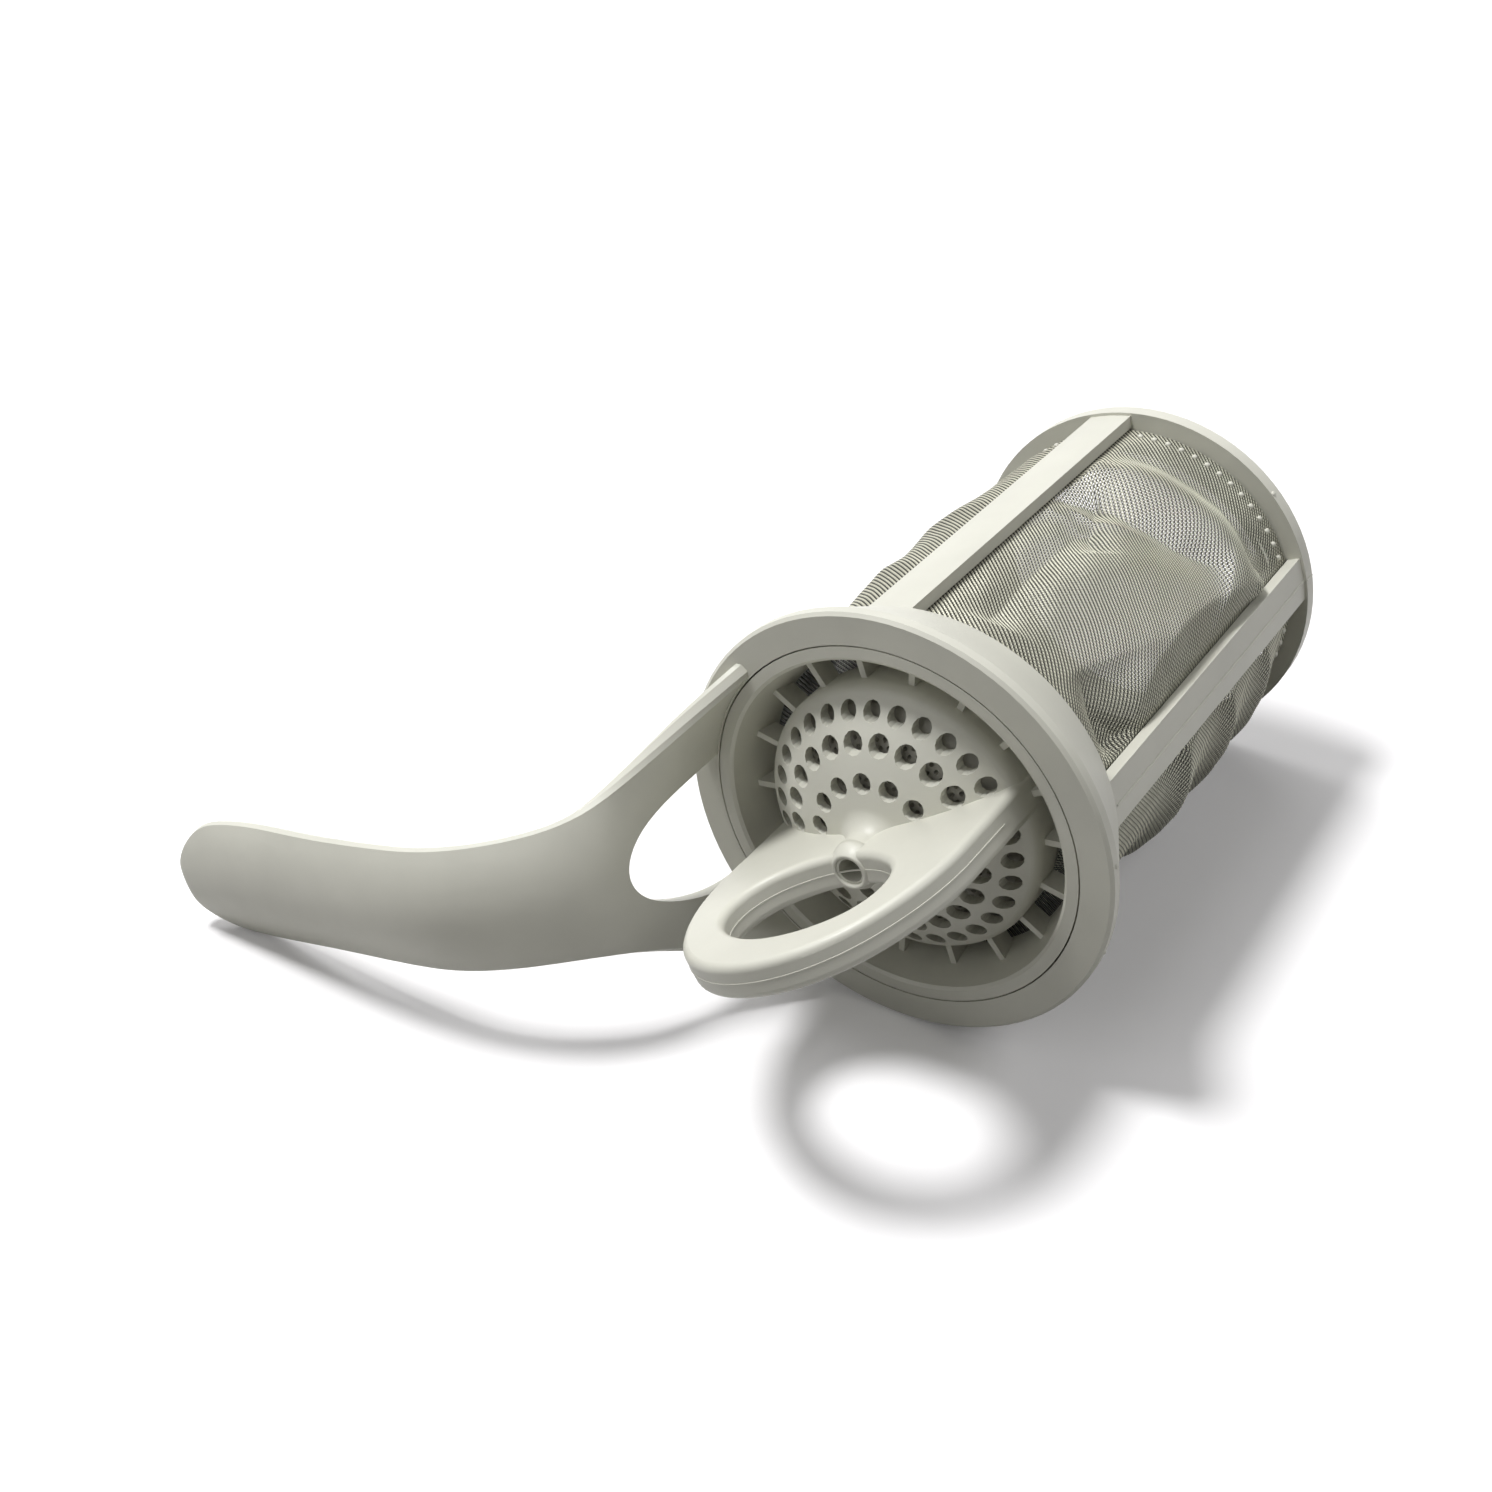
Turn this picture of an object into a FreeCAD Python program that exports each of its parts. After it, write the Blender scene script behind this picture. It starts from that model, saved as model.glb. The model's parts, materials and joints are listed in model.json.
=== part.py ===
import FreeCAD, Part
import math
import os
import Sketcher
from types import SimpleNamespace
from FreeCAD import Placement, Rotation, Vector

# Central filter of a dishwasher: a microfilter with a turning lever, and a strainer that lifts out of it.
# Each piece is drawn about its own Z axis: flange face at 0, outward positive, lever towards +X.
# At the end every piece is laid on its side, as the filter rests on a table.

doc = FreeCAD.newDocument("dishwasher_filter")

# Driving sizes in millimetres and degrees
SIZES = {
    # flange, skirt, ribs and foot of the microfilter frame
    "flange_r": 42.5,
    "rim_band": 2.4,
    "rim_bevel": 0.6,
    "seam_r": 36.5,
    "collar_seat_depth": 5.0,
    "seat_bore_r": 34.8,
    "skirt_depth": 15.4,
    "body_r": 36.4,
    "rib_count": 4,
    "rib_width": 9.0,
    "frame_length": 109.6,
    "foot_r": 37.0,
    "foot_height": 4.0,
    "foot_bore_r": 31.6,
    "foot_bevel": 0.8,
    "foot_band_height": 11.0,
    # woven sleeve
    "sleeve_r": 33.8,
    "sleeve_wall": 0.7,
    "sleeve_tuck": 3.4,
    "sleeve_clearance": 0.05,
    "slot_columns": 24,
    "slot_rows": 3,
    "slot_width": 1.6,
    "slot_margin": 3.0,
    "slot_bridge": 3.0,
    "warp_ridge": 0.25,
    "warp_ridge_width": 0.8,
    # turning lever
    "lever_foot_half_angle": 52.8,
    "lever_seam_gap": 0.3,
    "lever_wall": 3.2,
    "lever_bevel": 0.8,
    "lever_root": 2.0,
    "lean_r": 89.0,
    "lean_angle": 15.0,
    "bend_low_r": 23.1,
    "bend_split": 49.1,
    "bend_high_r": 55.0,
    "lever_reach": 144.0,
    "lever_half_width": 13.9,
    "lever_crown": 4.0,
    "width_blend": 17.7,
    "crown_blend": 15.5,
    "blend_power": 1.5,
    "arch_half_width": 12.6,
    "arch_height": 25.0,
    # strainer
    "strainer_turn": 14.1,
    "seam_clearance": 0.3,
    "seat_clearance": 0.3,
    "collar_lip_r": 33.6,
    "collar_bevel": 0.5,
    "funnel_wall": 1.6,
    "funnel_depth": 11.6,
    "funnel_mouth_r": 31.0,
    "dome_top": 5.9,
    "dome_sphere_r": 42.4,
    "dome_r": 27.2,
    "dome_wall": 2.0,
    "dome_round": 3.2,
    "dome_skirt_depth": 10.5,
    "fin_count": 18,
    "fin_thickness": 1.2,
    "fin_top": 6.0,
    "hub_r": 4.4,
    "hub_top": 11.9,
    "hub_bore_r": 2.3,
    "hub_fillet": 4.0,
    "outer_ring_r": 23.4,
    "outer_ring_count": 30,
    "outer_hole_r": 1.7,
    "middle_ring_r": 18.5,
    "middle_ring_count": 22,
    "middle_hole_r": 2.0,
    "inner_ring_r": 11.9,
    "inner_ring_count": 14,
    "inner_hole_r": 1.85,
    "hole_sides": 12,
    "loop_thickness": 6.6,
    "loop_half_width": 27.4,
    "loop_side_top": 15.2,
    "loop_top": 47.2,
    "loop_hole_half_width": 16.5,
    "loop_hole_bottom": 13.3,
    "loop_hole_top": 38.1,
    "loop_round": 1.4,
    # inner sieve
    "sieve_gap": 1.5,
    "sieve_side_clearance": 0.5,
    "sieve_wall": 1.1,
    "sieve_round": 2.4,
    "sieve_depth": 24.0,
    "sieve_rim_r": 26.9,
    "sieve_rim_height": 1.4,
    "sieve_hole_r": 0.6,
    "sieve_hole_sides": 4,
    "sieve_first_ring_r": 6.5,
    "sieve_ring_step": 4.5,
    "sieve_first_ring_count": 6,
    "sieve_ring_count_step": 6,
    "sieve_ring_total": 4,
}

sheet = doc.addObject("Spreadsheet::Sheet", "sizes")
for row, (alias, value) in enumerate(SIZES.items(), start=1):
    sheet.set(f"A{row}", alias)
    sheet.set(f"B{row}", str(value))
    sheet.setAlias(f"B{row}", alias)
doc.recompute()


class Size:
    """A size with its number and its formula in the cells of the sheet."""

    def __init__(self, number, formula):
        self.number = float(number)
        self.formula = formula

    def __add__(self, other):
        other = as_size(other)
        return Size(self.number + other.number, f"({self.formula} + {other.formula})")

    def __sub__(self, other):
        other = as_size(other)
        return Size(self.number - other.number, f"({self.formula} - {other.formula})")

    def __mul__(self, other):
        other = as_size(other)
        return Size(self.number * other.number, f"({self.formula} * {other.formula})")

    def __truediv__(self, other):
        other = as_size(other)
        return Size(self.number / other.number, f"({self.formula} / {other.formula})")

    def __neg__(self):
        return Size(-self.number, f"(0 - {self.formula})")

    def __float__(self):
        return self.number


def as_size(value):
    """Give a plain number the form of a size."""
    return value if isinstance(value, Size) else Size(value, str(value))


def root(value):
    """Square root of a size."""
    return Size(math.sqrt(value.number), f"sqrt({value.formula})")


def bind(thing, prop, value):
    """Tie a property of a document object to a size."""
    thing.setExpression(prop, as_size(value).formula)


d = SimpleNamespace(**{alias: Size(sheet.get(alias), f"<<sizes>>.{alias}") for alias in SIZES})


# Sketch and body helpers

START = 1
END = 2
CENTRE = 3
ORIGIN = (-1, 1)
HORIZONTAL_AXIS = -1
VERTICAL_AXIS = -2


def new_body(name):
    """An empty body."""
    return doc.addObject("PartDesign::Body", name)


def new_sketch(body, name, plane):
    """A sketch on one of the body's own origin planes."""
    sketch = body.newObject("Sketcher::SketchObject", name)
    support = next(part for part in body.Origin.OriginFeatures if part.Role == plane)
    sketch.AttachmentSupport = [(support, "")]
    sketch.MapMode = "FlatFace"
    return sketch


def pin(sketch, geometry, point, x, y):
    """Fix a point of the sketch at two sizes measured from the origin."""
    for kind, value, axis in (("DistanceX", x, VERTICAL_AXIS), ("DistanceY", y, HORIZONTAL_AXIS)):
        value = as_size(value)
        if value.formula in ("0", "0.0"):
            sketch.addConstraint(Sketcher.Constraint("PointOnObject", geometry, point, axis))
            continue
        index = sketch.addConstraint(Sketcher.Constraint(kind, *ORIGIN, geometry, point, value.number))
        bind(sketch, f"Constraints[{index}]", value)


def outline(sketch, corners):
    """A closed outline of straight lines with each corner at its own sizes."""
    points = [Vector(float(as_size(x)), float(as_size(y)), 0) for x, y in corners]
    lines = [
        sketch.addGeometry(Part.LineSegment(point, points[(index + 1) % len(points)]), False)
        for index, point in enumerate(points)
    ]
    for index, line in enumerate(lines):
        following = lines[(index + 1) % len(lines)]
        sketch.addConstraint(Sketcher.Constraint("Coincident", line, END, following, START))
    for line, (x, y) in zip(lines, corners):
        pin(sketch, line, START, x, y)


def revolve(body, name, sketch):
    """Turn a sketch once round the Z axis."""
    turn = body.newObject("PartDesign::Revolution", name)
    turn.Profile = sketch
    turn.ReferenceAxis = (sketch, ["V_Axis"])
    turn.Angle = 360
    return turn


def around(body, name, feature, count):
    """Repeat a feature evenly round the Z axis."""
    pattern = body.newObject("PartDesign::PolarPattern", name)
    pattern.Originals = [feature]
    pattern.Axis = (feature.Profile[0], ["V_Axis"])
    pattern.Angle = 360
    bind(pattern, "Occurrences", count)
    body.Tip = pattern
    return pattern


def edges_at(shape, radius, height):
    """Names of the full circles of a given radius at a given height."""
    near = 0.02
    return [
        f"Edge{index}"
        for index, edge in enumerate(shape.Edges, start=1)
        if not edge.Degenerated
        and isinstance(edge.Curve, Part.Circle)
        and abs(edge.Curve.Radius - radius) < near
        and abs(edge.Curve.Center.z - height) < near
    ]


def soften(body, kind, name, base, radius, height, size):
    """Fillet or chamfer the circular edges of a body at one radius and height."""
    doc.recompute()
    edge = body.newObject(f"PartDesign::{kind}", name)
    edge.Base = (base, edges_at(base.Shape, float(as_size(radius)), float(as_size(height))))
    bind(edge, "Radius" if kind == "Fillet" else "Size", size)
    body.Tip = edge
    doc.recompute()
    return edge


# Microfilter frame: flange, skirt, ribs and foot, turned in one profile and then opened by its windows

def frame_body():
    """The moulded frame without its lever."""
    body = new_body("frame_body")
    seat_r = d.sleeve_r + d.sleeve_clearance
    band_r = d.sleeve_r - d.sleeve_wall - d.sleeve_clearance
    foot_top = -(d.frame_length - d.foot_height)
    tuck_top = -(d.skirt_depth - d.sleeve_tuck)
    profile = new_sketch(body, "frame_profile", "XZ_Plane")
    outline(profile, [
        (d.seam_r, 0),
        (d.flange_r, 0),
        (d.flange_r, -d.rim_band),
        (d.body_r, -d.skirt_depth),
        (d.body_r, foot_top),
        (d.foot_r, foot_top),
        (d.foot_r, -d.frame_length),
        (d.foot_bore_r, -d.frame_length),
        (d.foot_bore_r, -(d.frame_length - d.foot_band_height)),
        (band_r, -(d.frame_length - d.foot_band_height)),
        (band_r, foot_top),
        (seat_r, foot_top),
        (seat_r, tuck_top),
        (d.seat_bore_r, tuck_top),
        (d.seat_bore_r, -d.collar_seat_depth),
        (d.seam_r, -d.collar_seat_depth),
    ])
    turned = revolve(body, "frame_turned", profile)
    rim = soften(body, "Chamfer", "rim_edge", turned, d.flange_r, 0, d.rim_bevel)
    soften(body, "Chamfer", "foot_edge", rim, d.foot_r, -d.frame_length, d.foot_bevel)

    window = new_sketch(body, "window_profile", "XZ_Plane")
    middle = Rotation(Vector(0, 1, 0), 180 / float(d.rib_count))
    window.AttachmentOffset = Placement(Vector(0, 0, 0), middle)
    overshoot = 2.0
    outline(window, [
        (seat_r - d.sleeve_clearance, -d.skirt_depth),
        (d.foot_r + overshoot, -d.skirt_depth),
        (d.foot_r + overshoot, foot_top),
        (seat_r - d.sleeve_clearance, foot_top),
    ])
    opening = body.newObject("PartDesign::Groove", "window")
    opening.Profile = window
    opening.ReferenceAxis = (window, ["V_Axis"])
    opening.Midplane = True
    half_rib = f"asin({(d.rib_width / (d.body_r * 2)).formula})"
    opening.setExpression("Angle", f"360 / {d.rib_count.formula} * 1 deg - 2 * {half_rib}")
    around(body, "windows", opening, d.rib_count)
    return body


# Turning lever: a shell concentric with the seam at its foot, which bends outward and turns into a crowned grip

def lever_path():
    """Point, direction of travel and front normal of the lever's crown line at any length, and where it ends."""
    foot_r = float(d.seam_r + d.lever_seam_gap)
    turns = [
        (float(d.lean_r), math.radians(float(d.lean_angle))),
        (float(d.bend_low_r), math.radians(float(d.bend_split))),
        (float(d.bend_high_r), math.pi / 2),
    ]
    arcs = []
    way, angle, point = 0.0, 0.0, (foot_r, 0.0)
    for radius, end in turns:
        centre = (point[0] + radius * math.cos(angle), point[1] - radius * math.sin(angle))
        arcs.append((way, angle, radius, centre))
        way += radius * (end - angle)
        angle = end
        point = (centre[0] - radius * math.cos(angle), centre[1] + radius * math.sin(angle))
    bend_end, last = way, point

    def at(way):
        if way <= 0:
            turn, place = 0.0, (foot_r, way)
        elif way >= bend_end:
            turn, place = math.pi / 2, (last[0] + way - bend_end, last[1])
        else:
            start, from_angle, radius, centre = [arc for arc in arcs if arc[0] <= way][-1]
            turn = from_angle + (way - start) / radius
            place = (centre[0] - radius * math.cos(turn), centre[1] + radius * math.sin(turn))
        travel = Vector(math.sin(turn), 0, math.cos(turn))
        front = Vector(-math.cos(turn), 0, math.sin(turn))
        return Vector(place[0], 0, place[1]), travel, front

    return at, bend_end, last[0]


def crowned_wire(origin, front, half_width, crown, wall, bevel):
    """Closed section of the shell: two curved faces a wall apart and two bevelled edges."""
    across = Vector(0, 1, 0)
    chord = half_width - bevel
    bend = 2 * crown / (chord * chord + crown * crown)
    fractions = (-1, -0.75, -0.5, -0.25, 0, 0.25, 0.5, 0.75, 1)
    outer, inner, normals = [], [], []
    for fraction in fractions:
        x = fraction * chord
        slope = bend * x
        level = math.sqrt(1 - slope * slope)
        normal = front * level + across * slope
        point = origin + across * x - front * (bend * x * x / (1 + level))
        outer.append(point)
        inner.append(point - normal * wall)
        normals.append(normal)
    share = [(fraction + 1) / 2 for fraction in fractions]
    faces = []
    for points in (outer, inner[::-1]):
        curve = Part.BSplineCurve()
        curve.interpolate(Points=points, Parameters=share)
        faces.append(curve.toShape())

    def edge(end, side):
        outward = (across * normals[end].dot(front) - front * normals[end].dot(across)) * (side * bevel)
        depth = normals[end] * bevel
        return [outer[end], outer[end] + outward - depth, inner[end] + outward + depth, inner[end]]

    right = Part.makePolygon(edge(-1, 1)).Edges
    left = Part.makePolygon(edge(0, -1)[::-1]).Edges
    return Part.Wire([faces[0], *right, faces[1], *left])


def lever_shape():
    """The lever as one loft through sections set square to its crown line."""
    at, bend_end, straight_start = lever_path()
    wall = float(d.lever_wall)
    bevel = float(d.lever_bevel)
    tip_r = float(d.lever_half_width)
    foot_angle = math.radians(float(d.lever_foot_half_angle))
    foot_r = float(d.seam_r + d.lever_seam_gap)
    foot_half = foot_r * math.sin(foot_angle) + bevel
    foot_sag = foot_r * (1 - math.cos(foot_angle))
    crown = float(d.lever_crown)
    power = float(d.blend_power)

    def section(way, shrink=1.0, thickness=wall):
        origin, travel, front = at(way)
        along = max(way, 0.0)
        width_share = math.exp(-((along / float(d.width_blend)) ** power))
        crown_share = math.exp(-((along / float(d.crown_blend)) ** power))
        half = tip_r + (foot_half - tip_r) * width_share
        sag = crown - (crown + foot_sag) * crown_share
        inset = front * (-(wall - thickness) / 2)
        return crowned_wire(origin + inset, front, half * shrink, sag * shrink * shrink, thickness, bevel * shrink)

    tip_way = bend_end + float(d.lever_reach) - tip_r - straight_start
    bend_stations = (0.0, 0.05, 0.11, 0.17, 0.23, 0.3, 0.38, 0.48, 0.6, 0.74, 0.88, 1.0)
    ways = [-float(d.lever_root)]
    ways += [share * bend_end for share in bend_stations]
    ways += [bend_end + share * (tip_way - bend_end) for share in (0.5, 1.0)]
    wires = [section(way) for way in ways]
    for degrees in (25, 45, 60, 72, 82):
        angle = math.radians(degrees)
        margin = tip_r * (1 - math.sin(angle))
        thickness = wall - 2 * max(bevel - margin, 0)
        wires.append(section(tip_way + tip_r * math.sin(angle), math.cos(angle), thickness))
    return Part.makeLoft(wires, True, False)


def arch_shape():
    """Cutter for the arch that the lever's two arms leave open over the flange."""
    tall, wide = float(d.arch_height), float(d.arch_half_width)
    points = []
    steps = 24
    for step in range(steps + 1):
        angle = math.pi * step / steps
        points.append(Vector(0, wide * math.cos(angle), tall * math.sin(angle)))
    curve = Part.BSplineCurve()
    curve.interpolate(points)
    base = Part.makePolygon([points[-1], points[0]])
    face = Part.Face(Part.Wire([curve.toShape()] + base.Edges))
    reach = float(d.lever_reach) / 2
    return face.extrude(Vector(reach, 0, 0))


def plain_feature(name, shape):
    """A document object that holds a shape made by the functions above."""
    feature = doc.addObject("Part::Feature", name)
    feature.Shape = shape
    return feature


def boolean(kind, name, *operands):
    """A cut, common or fusion of document objects."""
    result = doc.addObject(f"Part::{kind}", name)
    if kind == "MultiFuse":
        result.Shapes = list(operands)
    else:
        result.Base, result.Tool = operands
    result.Refine = True
    return result


def microfilter_frame():
    """Frame and lever in one moulding."""
    arms = boolean("Cut", "lever_arms", plain_feature("lever", lever_shape()), plain_feature("arch", arch_shape()))
    return boolean("MultiFuse", "microfilter_frame", frame_body(), arms)


# Woven sleeve: a thin wall with rows of slots between its warp ridges

def at_angle(radius, angle):
    """Point at a radius and an angle in radians."""
    return Vector(radius * math.cos(angle), radius * math.sin(angle), 0)


def ridged_wall():
    """Tube with a straight ridge between each two columns of slots."""
    inner_r = float(d.sleeve_r - d.sleeve_wall)
    wall_r = float(d.sleeve_r - d.warp_ridge)
    half = float(d.warp_ridge_width) / 2
    crest = math.sqrt(float(d.sleeve_r) ** 2 - half ** 2)
    top = -float(d.skirt_depth - d.sleeve_tuck)
    bottom = -float(d.frame_length - d.foot_height)
    pitch = 2 * math.pi / float(d.slot_columns)
    spread = math.asin(half / wall_r)
    edges = []
    for column in range(int(float(d.slot_columns))):
        middle = (column + 0.5) * pitch
        along = at_angle(1, middle + math.pi / 2)
        ridge = [
            at_angle(wall_r, middle - spread),
            at_angle(crest, middle) - along * half,
            at_angle(crest, middle) + along * half,
            at_angle(wall_r, middle + spread),
        ]
        edges += Part.makePolygon(ridge).Edges
        end = middle + pitch - spread
        valley = [ridge[-1], at_angle(wall_r, middle + pitch / 2), at_angle(wall_r, end)]
        edges.append(Part.Arc(*valley).toShape())
    section = Part.Face(Part.Wire(edges)).cut(Part.Face(Part.Wire(Part.makeCircle(inner_r))))
    section.translate(Vector(0, 0, bottom))
    return section.extrude(Vector(0, 0, top - bottom))


def slot_blocks():
    """Blocks that cut every column of slots."""
    bite = float(d.sleeve_wall)
    inner_r = float(d.sleeve_r - d.sleeve_wall)
    width = float(d.slot_width)
    columns = int(float(d.slot_columns))
    window_top = -float(d.skirt_depth + d.slot_margin)
    window_bottom = -float(d.frame_length - d.foot_band_height - d.slot_margin)
    pitch = (window_top - window_bottom + float(d.slot_bridge)) / float(d.slot_rows)
    slot_length = pitch - float(d.slot_bridge)
    blocks = []
    for row in range(int(float(d.slot_rows))):
        corner = Vector(inner_r - bite, -width / 2, window_bottom + pitch * row)
        for column in range(columns):
            block = Part.makeBox(bite * 3, width, slot_length, corner)
            block.rotate(Vector(0, 0, 0), Vector(0, 0, 1), 360 * column / columns)
            blocks.append(block)
    return Part.makeCompound(blocks)


def mesh_sleeve():
    """The woven tube that the frame is moulded round."""
    wall = plain_feature("sleeve_wall_tube", ridged_wall())
    return boolean("Cut", "mesh_sleeve", wall, plain_feature("sleeve_slots", slot_blocks()))


# Strainer: collar and funnel, fins, perforated dome with its hub, and the loop handle

def domed_sketch(body, name, sphere_r, top, side_r, wall, depth, boss=None):
    """Half section of a domed cap with a straight skirt, and a boss on top if one is given."""
    sketch = new_sketch(body, name, "XZ_Plane")
    centre = top - sphere_r
    inner_r = sphere_r - wall
    inner_side = side_r - wall
    start_x = boss[0] if boss else Size(0, "0")

    def height(radius, x):
        return root(radius * radius - x * x) + centre

    def arc(radius, x_from, x_to):
        begin = Vector(float(x_from), float(height(radius, x_from)), 0)
        end = Vector(float(x_to), float(height(radius, x_to)), 0)
        middle_x = (begin.x + end.x) / 2
        middle = Vector(middle_x, math.sqrt(float(radius) ** 2 - middle_x ** 2) + float(centre), 0)
        index = sketch.addGeometry(Part.Arc(begin, middle, end), False)
        pin(sketch, index, CENTRE, Size(0, "0"), centre)
        rule = sketch.addConstraint(Sketcher.Constraint("Radius", index, float(radius)))
        bind(sketch, f"Constraints[{rule}]", radius)
        return index

    def line(points):
        ends = [Vector(float(as_size(x)), float(as_size(y)), 0) for x, y in points]
        return [sketch.addGeometry(Part.LineSegment(a, b), False) for a, b in zip(ends, ends[1:])]

    outer = arc(sphere_r, start_x, side_r)
    skirt = line([
        (side_r, height(sphere_r, side_r)),
        (side_r, -depth),
        (inner_side, -depth),
        (inner_side, height(inner_r, inner_side)),
    ])
    inner = arc(inner_r, Size(0, "0"), inner_side)
    crown_points = [(Size(0, "0"), height(inner_r, Size(0, "0")))]
    if boss:
        crown_points += [(Size(0, "0"), boss[1]), (boss[0], boss[1])]
    crown_points.append((start_x, height(sphere_r, start_x)))
    crown = line(crown_points)

    # The arcs run anticlockwise, so each starts at its outer end
    joints = [(outer, START, skirt[0], START), (skirt[0], END, skirt[1], START), (skirt[1], END, skirt[2], START)]
    joints += [(skirt[2], END, inner, START), (inner, END, crown[0], START)]
    joints += [(a, END, b, START) for a, b in zip(crown, crown[1:])]
    joints.append((crown[-1], END, outer, END))
    for joint in joints:
        sketch.addConstraint(Sketcher.Constraint("Coincident", *joint))
    sketch.addConstraint(Sketcher.Constraint("Vertical", skirt[0]))
    sketch.addConstraint(Sketcher.Constraint("Vertical", skirt[2]))
    pin(sketch, skirt[1], START, side_r, -depth)
    pin(sketch, skirt[1], END, inner_side, -depth)
    sketch.addConstraint(Sketcher.Constraint("PointOnObject", inner, END, VERTICAL_AXIS))
    if boss:
        pin(sketch, crown[1], START, Size(0, "0"), boss[1])
        pin(sketch, crown[2], START, boss[0], boss[1])
        sketch.addConstraint(Sketcher.Constraint("Vertical", crown[2]))
    else:
        sketch.addConstraint(Sketcher.Constraint("PointOnObject", outer, END, VERTICAL_AXIS))
    return sketch, height(sphere_r, side_r)


def hole_blocks(rings, sides, low, high):
    """Many-sided blocks that cut rings of holes parallel to the axis, each as wide in area as its round hole."""
    blocks = []
    for ring_r, hole_r, count in rings:
        corner_r = float(hole_r) * math.sqrt(2 * math.pi / (sides * math.sin(2 * math.pi / sides)))
        for position in range(int(float(count))):
            centre = at_angle(float(ring_r), 2 * math.pi * position / float(count))
            corners = [
                centre + at_angle(corner_r, 2 * math.pi * (corner + 0.5) / sides)
                for corner in range(sides)
            ]
            block = Part.Face(Part.makePolygon(corners + corners[:1])).extrude(Vector(0, 0, high - low))
            block.translate(Vector(0, 0, low))
            blocks.append(block)
    return Part.makeCompound(blocks)


def strainer_dome():
    """Perforated dome with its skirt and the hub that the loop stands on."""
    body = new_body("strainer_dome")
    profile, corner_z = domed_sketch(
        body, "dome_profile", d.dome_sphere_r, d.dome_top, d.dome_r, d.dome_wall, d.dome_skirt_depth,
        boss=(d.hub_r, d.hub_top))
    turned = revolve(body, "dome_turned", profile)
    shoulder = soften(body, "Fillet", "dome_shoulder", turned, d.dome_r, corner_z, d.dome_round)
    hub_root = root(d.dome_sphere_r * d.dome_sphere_r - d.hub_r * d.hub_r) + d.dome_top - d.dome_sphere_r
    soften(body, "Fillet", "hub_root", shoulder, d.hub_r, hub_root, d.hub_fillet)
    rings = [
        (d.outer_ring_r, d.outer_hole_r, d.outer_ring_count),
        (d.middle_ring_r, d.middle_hole_r, d.middle_ring_count),
        (d.inner_ring_r, d.inner_hole_r, d.inner_ring_count),
    ]
    sides = int(float(d.hole_sides))
    holes = hole_blocks(rings, sides, -float(d.dome_skirt_depth), float(d.dome_top + d.dome_wall))
    return boolean("Cut", "pierced_dome", body, plain_feature("dome_holes", holes))


def funnel_inner_r(depth):
    """Inside radius of the funnel at a depth below the flange face."""
    return d.collar_lip_r - (d.collar_lip_r - d.funnel_mouth_r) * depth / d.funnel_depth


def strainer_collar():
    """Collar that sits in the flange, with the funnel wall under it."""
    body = new_body("strainer_collar")
    collar_r = d.seam_r - d.seam_clearance
    collar_bottom = -(d.collar_seat_depth - d.seat_clearance)
    funnel_r = d.seat_bore_r - d.seam_clearance
    profile = new_sketch(body, "collar_profile", "XZ_Plane")
    outline(profile, [
        (d.collar_lip_r, 0),
        (collar_r, 0),
        (collar_r, collar_bottom),
        (funnel_r, collar_bottom),
        (d.funnel_mouth_r + d.funnel_wall, -d.funnel_depth),
        (d.funnel_mouth_r, -d.funnel_depth),
    ])
    turned = revolve(body, "collar_turned", profile)
    soften(body, "Chamfer", "collar_lip", turned, d.collar_lip_r, 0, d.collar_bevel)
    return body


def strainer_fins():
    """Thin radial fins that carry the dome inside the funnel."""
    body = new_body("strainer_fins")
    bite = d.funnel_wall / 2
    dome_side = d.dome_r - d.dome_wall / 2
    profile = new_sketch(body, "fin_profile", "XZ_Plane")
    outline(profile, [
        (dome_side, -d.fin_top),
        (funnel_inner_r(d.fin_top) + bite, -d.fin_top),
        (funnel_inner_r(d.dome_skirt_depth) + bite, -d.dome_skirt_depth),
        (dome_side, -d.dome_skirt_depth),
    ])
    fin = body.newObject("PartDesign::Pad", "fin")
    fin.Profile = profile
    fin.SideType = "Symmetric"
    bind(fin, "Length", d.fin_thickness)
    around(body, "fins", fin, d.fin_count)
    return body


def oval_arcs(centre_z, half_width, height):
    """Upper half of an oval in the loop's plane as three arcs that run into each other, from right to left."""
    flatness = 0.476
    long, short = max(half_width, height), min(half_width, height)
    end_r = short * (1 - flatness * (long - short) / short)
    side_r = ((long - end_r) ** 2 + short ** 2 - end_r ** 2) / (2 * (short - end_r))
    turn = math.atan2(side_r - short, long - end_r)
    upright = height > half_width

    def place(along, across):
        x, z = (across, along) if upright else (along, across)
        return Vector(x, 0, centre_z + z)

    def end_point(angle):
        return place(long - end_r + end_r * math.cos(angle), end_r * math.sin(angle))

    def side_point(angle):
        return place(side_r * math.sin(angle), short - side_r + side_r * math.cos(angle))

    def mirrored(points):
        return [Vector(-point.x, 0, point.z) for point in reversed(points)]

    spread = math.pi / 2 - turn
    end_arc = [end_point(angle) for angle in (turn, turn / 2, 0)]
    side_arc = [side_point(angle) for angle in (0, spread / 2, spread)]
    if upright:
        over = [end_point(turn), end_point(0), end_point(-turn)]
        over = sorted(over, key=lambda point: -point.x)
        runs = [side_arc, over, mirrored(side_arc)]
    else:
        over = [side_point(spread), side_point(0), side_point(-spread)]
        runs = [end_arc[::-1], over, mirrored(end_arc[::-1])]
    return [Part.Arc(*run).toShape() for run in runs]


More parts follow.
